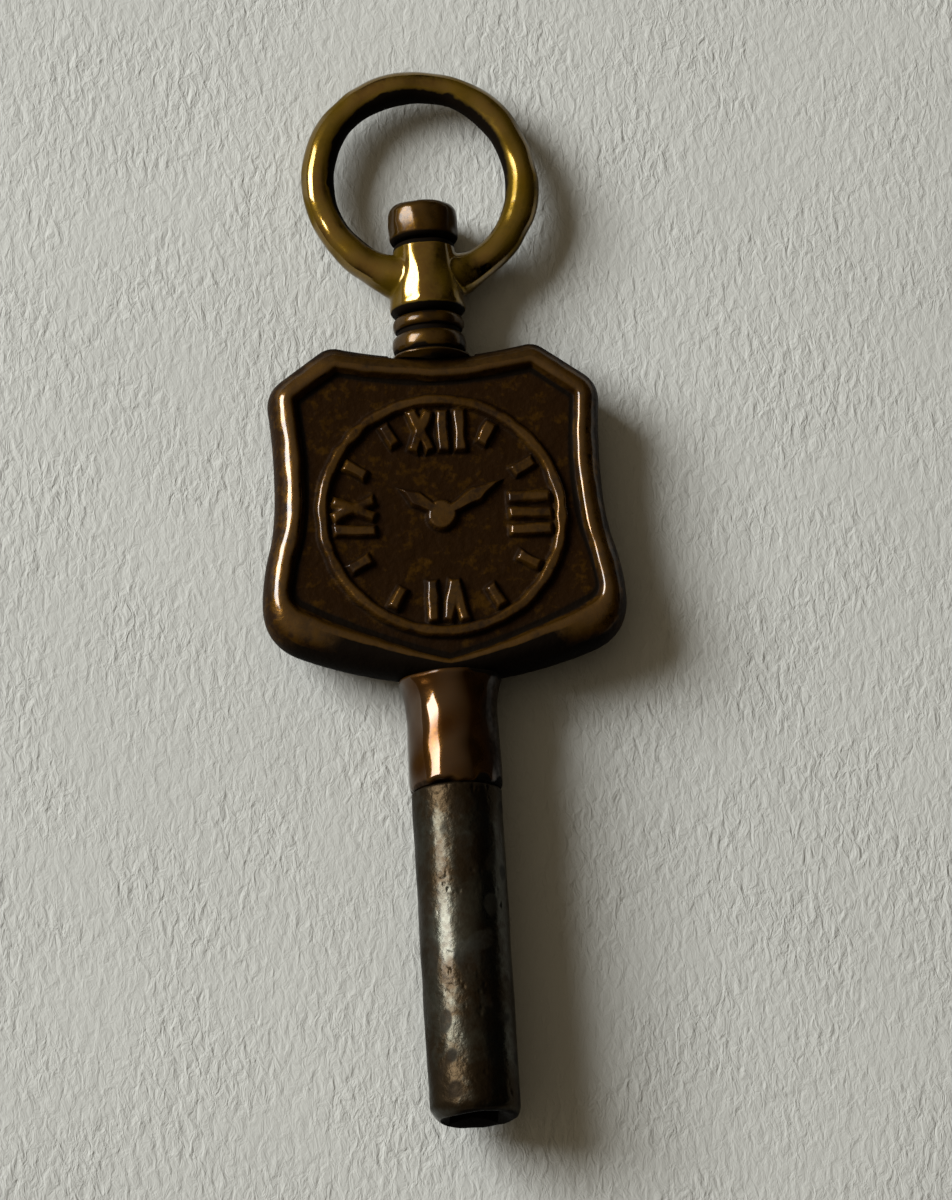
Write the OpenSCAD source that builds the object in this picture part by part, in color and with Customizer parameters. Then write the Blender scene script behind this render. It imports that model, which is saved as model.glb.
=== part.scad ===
// Pocket-watch winding key with a struck shield and a swivel bow.
// The key lies flat. +Y runs along its axis from the mouth of the pipe to the bow,
// +X runs across the shield and +Z leaves its front. The origin is the centre of the mouth.

/* [Pipe] */
// Outside diameter of the steel pipe
pipe_d = 3.18; // [2.8:0.02:3.24]
// Length of the pipe that shows below the ferrule
pipe_l = 11.75; // [10:0.05:14]
// Width across the flats of the square socket
socket_w = 1.7; // [1.2:0.05:1.9]
// Depth of the square socket
socket_depth = 6.5; // [4:0.1:8]
// What the broach takes off each side of the drilled hole
broach_cut = 0.05; // [0.02:0.01:0.1]
// Depth of the round drilling past the end of the square
drill_past = 1.2; // [0.4:0.1:1.8]
// Diameter of the countersink at the mouth
sink_d = 2.5; // [2.3:0.05:2.6]
// Depth of the countersink at the mouth
sink_depth = 0.3; // [0.1:0.05:0.5]
// Worn rounding of the mouth, along the axis
mouth_wear = 0.42; // [0.1:0.02:0.6]
// Worn rounding of the mouth, across the axis
mouth_lip = 0.24; // [0.1:0.02:0.28]
// Length of the tang that the ferrule holds
tang_l = 1.9; // [1:0.1:2]

/* [Ferrule] */
// Length of the ferrule
ferrule_l = 4.05; // [3.9:0.05:5.5]
// Diameter of the ferrule at its lower end
ferrule_foot_d = 3.3; // [3.24:0.02:3.5]
// Diameter of the ferrule at its waist
ferrule_waist_d = 3.2; // [2.6:0.01:3.24]
// Height of the waist above the lower end
ferrule_waist_at = 2.65; // [2.2:0.05:3.2]
// Diameter of the flared rim
ferrule_rim_d = 3.64; // [3.4:0.02:3.9]
// Thickness of the flared rim's edge
ferrule_rim_t = 0.12; // [0.08:0.02:0.2]
// Rounding of the lower edge
ferrule_foot_round = 0.22; // [0.05:0.01:0.25]
// Diameter of the bore through the ferrule
ferrule_bore_d = 1.86; // [1.5:0.02:1.9]

/* [Shield] */
// Thickness over the two raised rims
shield_t = 2; // [1.9:0.05:2.6]
// Height from the tip to the middle of the hollow top edge
shield_h = 12; // [11.5:0.01:13]
// Width across the lower lobes
lobe_w = 12.96; // [12.4:0.02:13.6]
// Height of the lower corners above the tip
lobe_at = 1.58; // [1.2:0.02:1.8]
// Width of the waist
waist_w = 11.66; // [11:0.02:12]
// Height of the waist above the tip
waist_at = 7.93; // [7.4:0.01:8.4]
// Width across the shoulders
shoulder_w = 12; // [11.6:0.02:12.6]
// Drop of the shoulder corners below the top edge
shoulder_drop = 1.14; // [0.8:0.02:1.4]
// Distance between the two top points
point_w = 7.44; // [6.4:0.02:8]
// Rise of the top points above the middle of the top edge
point_rise = 0.5; // [0.3:0.01:0.8]
// Width of the rim, from the edge to the sunken field
rim_w = 0.8; // [0.6:0.02:1]
// Rounding of the shield's edge, measured inwards
edge_round = 0.42; // [0.1:0.02:0.5]
// Drop of the rim's inner edge below its crest
rim_drop = 0.12; // [0.02:0.01:0.16]
// Depth of the sunken field
field_depth = 0.3; // [0.1:0.02:0.32]
// Slope of the field's wall, measured inwards
wall_slope = 0.1; // [0.04:0.02:0.2]
// Length of the spigot that the ferrule holds
spigot_l = 1.9; // [1:0.1:2]

/* [Struck dial] */
// Height of the dial's middle above the tip
dial_at = 5.95; // [5.8:0.05:6.1]
// Outside diameter of the dial's ring
dial_d = 8.9; // [8:0.05:9.2]
// Width of the dial's ring
dial_ring_w = 0.36; // [0.2:0.02:0.4]
// Height of the relief above the field
relief_h = 0.26; // [0.1:0.01:0.28]
// Gap between the ring and the hour marks
mark_gap = 0.2; // [0.1:0.02:0.3]
// Height of the numerals at the quarter hours
numeral_h = 1.5; // [1:0.02:1.6]
// Width of the numerals' strokes
stroke_w = 0.38; // [0.24:0.01:0.42]
// Distance from one stroke of a numeral to the next
stroke_pitch = 0.6; // [0.54:0.01:0.66]
// Width of the letters V and X
cross_w = 1; // [0.8:0.02:1.1]
// Length of the bars at the other hours
bar_l = 0.84; // [0.5:0.02:1]
// Length of the hour hand
hour_hand_l = 1.75; // [1.4:0.05:1.9]
// Length of the minute hand
minute_hand_l = 2.4; // [2:0.05:2.5]
// Width of the hands
hand_w = 0.54; // [0.36:0.02:0.6]
// Diameter of the boss that the hands turn on
boss_d = 1.04; // [0.6:0.02:1.2]

/* [Neck] */
// Height of the neck above its seat
neck_h = 1.62; // [1.5:0.02:2.4]
// Depth of the neck's seat below the top edge
neck_sink = 0.1; // [0.04:0.01:0.2]
// Diameter of the flared foot
neck_foot_d = 3; // [2.7:0.02:3.2]
// Thickness of the foot's edge
neck_foot_t = 0.08; // [0.04:0.01:0.12]
// Height of the undercut above the seat
undercut_at = 0.26; // [0.18:0.01:0.4]
// Diameter of the undercut above the foot
neck_undercut_d = 2.36; // [2:0.02:2.5]
// Diameter of the lower bead
lower_bead_d = 2.66; // [2.5:0.02:2.9]
// Height of the groove's middle above the seat
groove_at = 1.03; // [0.8:0.01:1.2]
// Width of the groove between the beads
groove_w = 0.2; // [0.1:0.01:0.3]
// Diameter of the groove between the beads
groove_d = 2.24; // [2:0.02:2.4]
// Diameter of the upper bead
upper_bead_d = 2.54; // [2.3:0.02:2.7]
// Diameter of the tenon in the shield
tenon_d = 1; // [0.6:0.02:1.1]
// Length of the tenon in the shield
tenon_l = 2; // [1:0.1:3]

/* [Swivel] */
// Diameter of the swivel pin
pin_d = 1.2; // [0.9:0.02:1.4]
// Depth to which the pin is driven into the neck
pin_drive = 1.2; // [0.8:0.05:1.4]
// Diameter of the button head
button_d = 2.48; // [2:0.02:2.6]
// Height of the button head
button_h = 1.38; // [1:0.02:1.6]
// Rounding of the button's top edge
button_round = 0.36; // [0.1:0.02:0.5]
// Rounding of the button's lower edge
button_base_round = 0.22; // [0.05:0.01:0.3]

/* [Bow] */
// Diameter of the ring, to the middle of its wire
ring_d = 7.36; // [6.8:0.02:8]
// Diameter of the ring's wire
wire_d = 1.18; // [1:0.02:1.4]
// Length of the collar
collar_l = 2.72; // [2.5:0.02:3.1]
// Diameter of the collar near its lower end
collar_foot_d = 2.74; // [2.6:0.02:3]
// Diameter of the collar at its upper end
collar_top_d = 2.2; // [2:0.02:2.5]
// Rounding of the collar's lower edge
collar_foot_round = 0.36; // [0.1:0.02:0.4]
// Height on the collar at which the wire's middle meets the axis
wire_seat = 1.41; // [1.1:0.01:1.7]
// Widest diameter of the flares where the wire meets the collar
flare_d = 1.84; // [1.5:0.02:2]
// Angle around the ring, from the axis, at which the flares begin
flare_from = 33; // [28:1:40]

/* [Clearances] */
// Gap left for solder around each fixed spigot and tang
solder_gap = 0.03; // [0.01:0.01:0.05]
// Running clearance between the pin and the collar, on the radius
running_gap = 0.05; // [0.02:0.01:0.08]
// End play of the collar at each end
end_play = 0.07; // [0.04:0.01:0.12]

/* [Hidden] */
// Facets of turned surfaces
turned = 72;
// Points on each rounded edge of a turned profile
round_steps = 6;
// Points on each curved stretch of a turned profile
sweep_steps = 8;
// Points on each stretch of the shield's outline
outline_steps = 6;
// Angle between the levels of the shield's rounded edge
edge_step = 18;
// Angle between the levels of the rim's fall from its crest to its inner edge
rim_step = 30;
// Point angle of the drill that made the blind holes
drill_point = 118;
// Depth by which cutting tools pass the face that they enter
overcut = 1;
// Depth to which the spigot's root runs into the shield
spigot_root = 0.3;
// Cut that flattens the shield's tip where the ferrule seats
tip_flat = 0.08;
// Chamfer of the shoulder where the pipe meets the ferrule
shoulder_chamfer = 0.07;
// Space past the end of each tang, spigot, tenon and pin in its blind hole
end_space = 0.1;
// Turn of a bead's arc to each side of its middle
bead_turn = 80;
// Depth to which the relief's root runs into the shield
relief_root = 0.1;
// Numerals at the quarter hours, clockwise from the top
QUARTERS = ["XII", "III", "VI", "IX"];
// Clockwise turn of each hand from the top
hour_turn = 305;
minute_turn = 60;
// Share of a hand's length at which it is widest, and of its width that is left at the boss
hand_belly = 0.62;
hand_root = 0.4;

// Bends of the shield's edges: how far each control point lies from the corner or middle it belongs to
tip_bend = [2.6, 0.05];
lobe_bulge = 0.07;
lobe_bend = [-0.06, 2.5];
waist_bend = [0.01, -1.93];
shoulder_bend = -1.65;
top_bend = [1.56, 0.02];
// How far each corner's rounding reaches along its edges
lobe_reach = 1.5;
shoulder_reach = 0.7;
point_reach = 0.4;
// How far each corner moves, and how much its rounding loses, for each millimetre of inset
tip_shift = 0.72;
tip_bend_shift = 1.3;
lobe_shift = 1.3;
shoulder_shift = 0.51;
point_shift = [0.21, 1.08];
lobe_loss = 1;
shoulder_loss = 0.6;
point_loss = 0.33;

// Widths of the first n letters of a numeral, added up
function run_w(word, n) =
    n == 0 ? 0 : run_w(word, n - 1) + (word[n - 1] == "I" ? stroke_pitch : cross_w);

// Places along the axis
ferrule_y = pipe_l;
shield_seat_y = ferrule_y + ferrule_l;
tip_y = shield_seat_y - tip_flat;
neck_y = tip_y + shield_h - neck_sink;
collar_y = neck_y + neck_h + end_play;
button_y = collar_y + collar_l + end_play;
ring_y = collar_y + wire_seat + ring_d / 2;

// Sizes that follow from a fit
drill_d = socket_w - 2 * broach_cut;
tang_d = ferrule_bore_d - 2 * solder_gap;
spigot_d = ferrule_bore_d - 2 * solder_gap;
tenon_hole_d = tenon_d + 2 * solder_gap;
pin_hole_d = pin_d + 2 * solder_gap;
collar_bore_d = pin_d + 2 * running_gap;

// A point on the line from a to b, at the distance d from a
function toward(a, b, d) = a + d * (b - a) / norm(b - a);

// Points of a quadratic curve from a to b with the control point c, without its last point
function curve(a, c, b, n) =
    [for (i = [0 : n - 1]) let (t = i / n) (1 - t) * (1 - t) * a + 2 * t * (1 - t) * c + t * t * b];

// Points of an elliptical arc about c, with the reach r in each direction
function arc(c, r, from, to, n) =
    [for (i = [0 : n]) let (a = from + (to - from) * i / n) c + [r.x * cos(a), r.y * sin(a)]];

// Height of the cone that a drill of the diameter d leaves
function point_h(d) = d / 2 / tan(drill_point / 2);

// A smooth blend from 0 to 1
function ease(t) = (1 - cos(180 * t)) / 2;

// Right half of the shield's outline, from its tip to the middle of its top edge, drawn in by inset.
// The corners move in along the bisector of the edges that meet there and get tighter.
function half_outline(inset) = let (
    tip = [0, tip_shift * inset],
    tip_c = tip_bend + [0, tip_bend_shift * inset],
    lobe = [lobe_w / 2 + lobe_bulge - inset, lobe_at + lobe_shift * inset],
    lobe_c = [lobe_w / 2 + lobe_bend.x - inset, lobe_at + lobe_bend.y],
    waist = [waist_w / 2 - inset, waist_at],
    waist_c = waist + waist_bend,
    side = (lobe_c + waist_c) / 2,
    shoulder = [shoulder_w / 2 - inset, shield_h - shoulder_drop - shoulder_shift * inset],
    shoulder_c = [waist.x, shoulder.y + shoulder_bend],
    point = [point_w / 2, shield_h + point_rise] - inset * point_shift,
    top = [0, shield_h - inset],
    top_c = top + top_bend,
    lobe_r = lobe_reach - lobe_loss * inset,
    shoulder_r = shoulder_reach - shoulder_loss * inset,
    point_r = point_reach - point_loss * inset,
    lobe_a = toward(lobe, tip_c, lobe_r),
    lobe_b = toward(lobe, lobe_c, lobe_r),
    shoulder_a = toward(shoulder, shoulder_c, shoulder_r),
    shoulder_b = toward(shoulder, point, shoulder_r),
    point_a = toward(point, shoulder, point_r),
    point_b = toward(point, top_c, point_r)
) concat(
    curve(tip, tip_c, lobe_a, outline_steps),
    curve(lobe_a, lobe, lobe_b, outline_steps),
    curve(lobe_b, lobe_c, side, outline_steps),
    curve(side, waist_c, waist, outline_steps),
    curve(waist, shoulder_c, shoulder_a, outline_steps),
    curve(shoulder_a, shoulder, shoulder_b, outline_steps),
    curve(shoulder_b, (shoulder_b + point_a) / 2, point_a, outline_steps / 3),
    curve(point_a, point, point_b, outline_steps),
    curve(point_b, top_c, top, outline_steps),
    [top]
);

// The whole outline, anticlockwise from the tip
function outline(inset) = let (right = half_outline(inset), last = len(right) - 1) concat(
    right,
    [for (i = [last - 1 : -1 : 1]) [-right[i].x, right[i].y]]
);

// Turns the children about the key's axis, with their +Z along it, from the place y
module on_axis(y) {
    translate([0, y, 0])
        rotate([-90, 0, 0])
            children();
}

// A drilled blind hole along +Z from z = 0, with the cone that the drill's point leaves
module blind_hole(d, depth) {
    rotate_extrude($fn = turned)
        polygon([[0, -overcut], [d / 2, -overcut], [d / 2, depth], [0, depth + point_h(d)]]);
}

// Steel pipe with a square socket, a worn mouth and a tang
module pipe() {
    r = pipe_d / 2;
    profile = concat(
        [[0, 0]],
        arc([r - mouth_lip, mouth_wear], [mouth_lip, mouth_wear], -90, 0, round_steps),
        [
            [r, pipe_l - shoulder_chamfer],
            [r - shoulder_chamfer, pipe_l],
            [tang_d / 2, pipe_l],
            [tang_d / 2, pipe_l + tang_l],
            [0, pipe_l + tang_l]
        ]
    );
    drill_l = socket_depth + drill_past;
    sink_slope = (sink_d - drill_d) / 2 / sink_depth;
    drilling = [
        [0, -overcut],
        [sink_d / 2 + sink_slope * overcut, -overcut],
        [drill_d / 2, sink_depth],
        [drill_d / 2, drill_l],
        [0, drill_l + point_h(drill_d)]
    ];
    color("#5d564e")
        on_axis(0)
            difference() {
                rotate_extrude($fn = turned)
                    polygon(profile);
                translate([-socket_w / 2, -socket_w / 2, -overcut])
                    cube([socket_w, socket_w, socket_depth + overcut]);
                rotate_extrude($fn = turned)
                    polygon(drilling);
            }
}

// Waisted ferrule that joins the pipe to the shield
module ferrule() {
    foot_r = ferrule_foot_d / 2;
    waist_r = ferrule_waist_d / 2;
    rim_r = ferrule_rim_d / 2;
    rim_y = ferrule_l - ferrule_rim_t;
    foot_end = ferrule_foot_round * 3;
    profile = concat(
        [[0, 0]],
        arc([foot_r - ferrule_foot_round, ferrule_foot_round],
            [ferrule_foot_round, ferrule_foot_round], -90, 0, round_steps),
        [for (i = [0 : sweep_steps]) let (t = i / sweep_steps)
            [foot_r + (waist_r - foot_r) * ease(t), foot_end + (ferrule_waist_at - foot_end) * t]],
        [for (i = [1 : sweep_steps]) let (t = i / sweep_steps)
            [waist_r + (rim_r - waist_r) * t * t, ferrule_waist_at + (rim_y - ferrule_waist_at) * t]],
        [[rim_r, ferrule_l], [0, ferrule_l]]
    );
    color("#7d4e2c")
        on_axis(ferrule_y)
            difference() {
                rotate_extrude($fn = turned)
                    polygon(profile);
                translate([0, 0, -overcut])
                    cylinder(d = ferrule_bore_d, h = ferrule_l + 2 * overcut, $fn = turned);
            }
}

// The shield without its seats: a loft through outlines that step in over the rounded edge,
// fall a little across the rim and drop down a sloped wall to the field, on both faces
module shield_loft() {
    half_t = shield_t / 2;
    foot = [half_t - field_depth, rim_w + wall_slope];
    rim = [for (a = [rim_step : rim_step : 90])
        [half_t - rim_drop * (1 - cos(a)), edge_round + (rim_w - edge_round) * sin(a)]];
    edge = [for (a = [-90 : edge_step : 90]) [half_t * sin(a), edge_round * (1 - cos(a))]];
    levels = concat(
        [[-foot[0], foot[1]]],
        [for (i = [len(rim) - 1 : -1 : 0]) [-rim[i][0], rim[i][1]]],
        edge,
        rim,
        [foot]
    );
    points = [for (level = levels) for (p = outline(level[1])) [p.x, p.y, level[0]]];
    around = len(outline(0));
    last = len(levels) - 1;
    back = [for (i = [0 : around - 1]) i];
    front = [for (i = [around - 1 : -1 : 0]) last * around + i];
    sides = [
        for (level = [0 : last - 1])
            for (i = [0 : around - 1])
                let (
                    j = (i + 1) % around,
                    a = level * around + i,
                    b = level * around + j,
                    c = a + around,
                    d = b + around
                )
                each [[a, c, b], [b, c, d]]
    ];
    polyhedron(points, concat([back], [front], sides), convexity = 10);
}

// A stroke of a numeral, whose middle is at x = low at the foot and at x = high at the head
module stroke(low, high) {
    half_w = stroke_w / 2;
    polygon([[low - half_w, 0], [low + half_w, 0], [high + half_w, numeral_h], [high - half_w, numeral_h]]);
}

// A numeral that stands on the x axis, centred on x = 0
module numeral(word) {
    arm = (cross_w - stroke_w) / 2;
    for (n = [0 : len(word) - 1]) {
        x = (run_w(word, n) + run_w(word, n + 1) - run_w(word, len(word))) / 2;
        if (word[n] == "I") {
            stroke(x, x);
        } else {
            for (side = [-1, 1])
                stroke(word[n] == "X" ? x - side * arm : x, x + side * arm);
        }
    }
}

// A hand that points up from the dial's middle
module hand(l) {
    half_w = hand_w / 2;
    root_w = half_w * hand_root;
    polygon([[-root_w, 0], [root_w, 0], [half_w, l * hand_belly], [0, l], [-half_w, l * hand_belly]]);
}

// Relief of the struck dial, about its own middle: ring, quarter numerals, hour bars, hands and boss
module dial_relief() {
    ring_r = dial_d / 2 - dial_ring_w;
    mark_r = ring_r - mark_gap;
    linear_extrude(relief_h + relief_root) {
        difference() {
            circle(d = dial_d, $fn = turned);
            circle(r = ring_r, $fn = turned);
        }
        for (hour = [0 : 11])
            rotate(-30 * hour)
                if (hour % 3 == 0) {
                    translate([0, mark_r - numeral_h])
                        numeral(QUARTERS[hour / 3]);
                } else {
                    translate([-stroke_w / 2, mark_r - bar_l])
                        square([stroke_w, bar_l]);
                }
        rotate(-hour_turn)
            hand(hour_hand_l);
        rotate(-minute_turn)
            hand(minute_hand_l);
        circle(d = boss_d, $fn = turned);
    }
}

// Struck shield, with the neck's seat and hole at its top and the ferrule's spigot at its tip
module shield_body() {
    color("#4f351f") {
        difference() {
            translate([0, tip_y, 0])
                shield_loft();
            on_axis(neck_y)
                cylinder(d = neck_foot_d + 2 * solder_gap, h = point_rise + overcut, $fn = turned);
            on_axis(neck_y)
                rotate([180, 0, 0])
                    blind_hole(tenon_hole_d, tenon_l + end_space);
            on_axis(shield_seat_y - overcut)
                cylinder(d = ferrule_rim_d + 2 * solder_gap, h = overcut, $fn = turned);
        }
        translate([0, tip_y + dial_at, shield_t / 2 - field_depth - relief_root])
            dial_relief();
        on_axis(shield_seat_y - spigot_l)
            cylinder(d = spigot_d, h = spigot_l + spigot_root, $fn = turned);
    }
}

// Turned neck with a flared foot, two beads and a tenon
module neck() {
    foot_r = neck_foot_d / 2;
    under_r = neck_undercut_d / 2;
    lower_r = lower_bead_d / 2;
    groove_r = groove_d / 2;
    upper_r = upper_bead_d / 2;
    lower_h = groove_at - groove_w / 2 - undercut_at;
    upper_y = groove_at + groove_w / 2;
    upper_h = neck_h - upper_y;
    profile = concat(
        [[0, -tenon_l], [tenon_d / 2, -tenon_l], [tenon_d / 2, 0], [foot_r, 0]],
        [for (i = [0 : sweep_steps]) let (a = 90 * i / sweep_steps)
            [foot_r + (under_r - foot_r) * sin(a),
                neck_foot_t + (undercut_at - neck_foot_t) * (1 - cos(a))]],
        arc([under_r, undercut_at + lower_h / 2], [lower_r - under_r, lower_h / 2], -bead_turn, bead_turn,
            sweep_steps),
        [[groove_r, groove_at - groove_w / 2], [groove_r, upper_y]],
        arc([groove_r, upper_y + upper_h / 2], [upper_r - groove_r, upper_h / 2], -bead_turn, bead_turn,
            sweep_steps),
        [[groove_r, neck_h], [0, neck_h]]
    );
    color("#6a4f2e")
        on_axis(neck_y)
            difference() {
                rotate_extrude($fn = turned)
                    polygon(profile);
                translate([0, 0, neck_h])
                    rotate([180, 0, 0])
                        blind_hole(pin_hole_d, pin_drive + end_space);
            }
}

// Swivel pin with its button head
module swivel_pin() {
    r = button_d / 2;
    shank_y = collar_l + 2 * end_play + pin_drive;
    profile = concat(
        [[0, -shank_y], [pin_d / 2, -shank_y], [pin_d / 2, 0]],
        arc([r - button_base_round, button_base_round],
            [button_base_round, button_base_round], -90, 0, round_steps),
        arc([r - button_round, button_h - button_round],
            [button_round, button_round], 0, 90, round_steps),
        [[0, button_h]]
    );
    color("#5c4023")
        on_axis(button_y)
            rotate_extrude($fn = turned)
                polygon(profile);
}

// Cone between two points in the bow's plane
module cone_between(a, b, d1, d2) {
    run = b - a;
    translate([a.x, a.y, 0])
        rotate([0, 90, atan2(run.y, run.x)])
            cylinder(d1 = d1, d2 = d2, h = norm(run), $fn = turned);
}

// Ring with its collar, which turns on the swivel pin
module bow() {
    foot_r = collar_foot_d / 2;
    top_r = collar_top_d / 2;
    profile = concat(
        [[0, 0]],
        arc([foot_r - collar_foot_round, collar_foot_round],
            [collar_foot_round, collar_foot_round], -90, 0, round_steps),
        [[top_r, collar_l], [0, collar_l]]
    );
    flare_start = [ring_d / 2 * sin(flare_from), ring_y - ring_d / 2 * cos(flare_from)];
    flare_end = [pin_d / 2, collar_y + wire_seat + wire_d / 4];
    color("#8c7034")
        difference() {
            union() {
                translate([0, ring_y, 0])
                    rotate_extrude($fn = turned)
                        translate([ring_d / 2, 0])
                            circle(d = wire_d, $fn = turned);
                on_axis(collar_y)
                    rotate_extrude($fn = turned)
                        polygon(profile);
                for (side = [0, 1])
                    mirror([side, 0, 0])
                        cone_between(flare_start, flare_end, wire_d, flare_d);
            }
            on_axis(collar_y - overcut)
                cylinder(d = collar_bore_d, h = collar_l + 2 * overcut, $fn = turned);
        }
}

pipe();
ferrule();
shield_body();
neck();
swivel_pin();
bow();
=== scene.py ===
"""Pocket-watch winding key: a struck shield, a waisted ferrule, a steel pipe and a swivel bow."""

import math

import bmesh
import bpy
import numpy as np
from bpy.props import FloatProperty, FloatVectorProperty, PointerProperty
from mathutils import Matrix, Vector


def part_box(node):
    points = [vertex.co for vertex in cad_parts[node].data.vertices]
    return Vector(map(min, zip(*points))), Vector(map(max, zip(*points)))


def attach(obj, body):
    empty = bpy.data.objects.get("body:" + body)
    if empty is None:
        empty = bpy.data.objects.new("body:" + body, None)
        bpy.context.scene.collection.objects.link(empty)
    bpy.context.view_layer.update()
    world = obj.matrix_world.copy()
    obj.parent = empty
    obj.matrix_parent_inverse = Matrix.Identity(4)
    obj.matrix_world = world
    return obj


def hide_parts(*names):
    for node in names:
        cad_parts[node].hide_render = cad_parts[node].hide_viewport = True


bl_info = {
    "name": "Watch Key",
    "version": (1, 0, 0),
    "blender": (4, 5, 0),
    "location": "View3D > Sidebar > Watch Key",
    "description": "Builds a pocket-watch winding key around its CAD frame",
    "category": "Add Mesh",
}

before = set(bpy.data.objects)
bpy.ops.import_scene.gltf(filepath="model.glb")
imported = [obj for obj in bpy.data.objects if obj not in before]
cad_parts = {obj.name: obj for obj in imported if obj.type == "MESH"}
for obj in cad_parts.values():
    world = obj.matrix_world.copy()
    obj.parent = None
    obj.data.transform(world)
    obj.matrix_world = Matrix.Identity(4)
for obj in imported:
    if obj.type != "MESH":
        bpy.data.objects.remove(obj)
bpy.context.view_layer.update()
MM = 0.001


def linear(code):
    """The linear colour of an sRGB hex value."""
    parts = [int(code[i:i + 2], 16) / 255 for i in (1, 3, 5)]
    return tuple(p / 12.92 if p <= 0.04045 else ((p + 0.055) / 1.055) ** 2.4 for p in parts)


def mm(length):
    """A length in metres, such as a property's, in millimetres."""
    return length / MM


def size(name, description, length):
    """A length property that a user can change, given in millimetres."""
    return FloatProperty(name=name, description=description, default=length * MM, min=0.0,
                         precision=5, unit="LENGTH", subtype="DISTANCE")


def tone(name, description, code):
    """A colour property that a user can change, given as an sRGB hex value."""
    return FloatVectorProperty(name=name, description=description, default=linear(code),
                               min=0.0, max=1.0, size=3, subtype="COLOR")


def reach(cad_node, axis):
    """How far a CAD node reaches along one axis, in millimetres."""
    low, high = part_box(cad_node)
    return mm(high[axis] - low[axis])


class WatchKeySizes(bpy.types.PropertyGroup):
    """Sizes of the key's pieces."""

    pipe_d: size("Pipe diameter", "Outside diameter of the steel pipe", reach("pipe", 0))
    pipe_l: size("Pipe length", "Length of the pipe that shows below the ferrule", 11.75)
    socket_w: size("Socket width", "Width across the flats of the square socket", 1.7)
    socket_depth: size("Socket depth", "Depth of the square socket", 6.5)
    ferrule_l: size("Ferrule length", "Length of the ferrule", reach("ferrule", 1))
    ferrule_foot_d: size("Ferrule foot", "Diameter of the ferrule at its lower end", 3.3)
    ferrule_waist_d: size("Ferrule waist", "Diameter of the ferrule at its waist", 3.2)
    ferrule_rim_d: size("Ferrule rim", "Diameter of the ferrule's flared rim", reach("ferrule", 0))
    shield_t: size("Shield thickness", "Thickness over the shield's raised rims", 2.0)
    shield_h: size("Shield height", "Height from the tip to the hollow of the top edge", 12.0)
    lobe_w: size("Lobe width", "Width across the shield's lower lobes", 12.96)
    waist_w: size("Waist width", "Width of the shield's waist", 11.66)
    shoulder_w: size("Shoulder width", "Width across the shield's shoulders", 12.0)
    rim_w: size("Rim width", "Width of the shield's raised rim", 0.92)
    field_depth: size("Field depth", "Depth of the shield's sunken field", 0.3)
    dial_d: size("Dial diameter", "Outside diameter of the struck dial's ring", 8.9)
    relief_h: size("Relief height", "Height of the struck dial above the field", 0.26)
    neck_h: size("Neck height", "Height of the turned neck", 1.62)
    neck_foot_d: size("Neck foot", "Diameter of the neck's flared foot", reach("neck", 0))
    pin_d: size("Pin diameter", "Diameter of the swivel pin", 1.2)
    button_d: size("Button diameter", "Diameter of the pin's button head", reach("swivel_pin", 0))
    button_h: size("Button height", "Height of the pin's button head", 1.38)
    ring_d: size("Ring diameter", "Diameter of the ring, to the middle of its wire", 7.36)
    wire_d: size("Wire diameter", "Diameter of the ring's wire", 1.18)
    collar_l: size("Collar length", "Length of the bow's collar", 2.72)
    collar_foot_d: size("Collar foot", "Diameter of the collar near its lower end", 2.74)
    collar_top_d: size("Collar top", "Diameter of the collar at its upper end", 2.2)


class WatchKeyFinish(bpy.types.PropertyGroup):
    """Colours and wear of the key's pieces and the stage."""

    bow_brass: tone("Bow brass", "Filed yellow brass of the bow", "#80631a")
    bow_tarnish: tone("Bow tarnish", "Olive tarnish on the bow", "#52400a")
    shield_brass: tone("Shield brass", "Rubbed brass on the shield's high places", "#5e400e")
    shield_patina: tone("Shield patina", "Brown patina of the shield", "#211203")
    neck_brass: tone("Neck brass", "Turned brass of the neck and pin", "#4e3606")
    neck_patina: tone("Neck patina", "Brown patina of the neck and pin", "#2c1b02")
    ferrule_copper: tone("Ferrule copper", "Coppery brass of the ferrule", "#4e330b")
    ferrule_patina: tone("Ferrule patina", "Red-brown patina of the ferrule", "#382006")
    pipe_steel: tone("Pipe steel", "Bare steel of the pipe", "#454740")
    pipe_rust: tone("Pipe rust", "Brown tarnish and rust of the pipe", "#2a2217")
    # The dark tone of dirt, and also of painted shade in recesses, undercuts and shaded sides
    dirt_and_shade: tone("Old dirt", "Dirt in the low places of every piece", "#0c0703")
    paper: tone("Paper", "Pale paper that the key lies on", "#bfc2be")
    wear: FloatProperty(name="Wear", description="How far handling has dented and rounded the metal",
                        default=0.5, min=0.0, max=1.0, subtype="FACTOR")


def settings(context):
    """The scene's sizes and finish, and the strength of its wear, which is 1 at the default."""
    finish = context.scene.watch_key_finish
    return context.scene.watch_key_sizes, finish, 2 * finish.wear


def node(tree, kind, sockets=None, **options):
    """Adds a shader node with its options, and fills its sockets with values, or with links from sockets or
    from the first outputs of nodes."""
    made = tree.nodes.new("ShaderNode" + kind)
    for key, value in options.items():
        setattr(made, key, value)
    for socket, value in (sockets or {}).items():
        if isinstance(value, bpy.types.Node):
            value = value.outputs[0]
        if isinstance(value, bpy.types.NodeSocket):
            tree.links.new(value, made.inputs[socket])
        else:
            made.inputs[socket].default_value = value
    return made


def emptied(owner):
    """The node tree of a material or a world, with nothing in it."""
    owner.use_nodes = True
    owner.node_tree.nodes.clear()
    return owner.node_tree


def rgba(colour):
    """A colour with full alpha."""
    return (*colour, 1.0)


def pitch(length):
    """Texture scale at which a pattern repeats about every so many millimetres."""
    return 1 / (length * MM)


# Sockets of a Mix node: its factor, its two numbers and its two colours
FACTOR, NUMBER_A, NUMBER_B, COLOUR_A, COLOUR_B = 0, 2, 3, 6, 7
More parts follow.
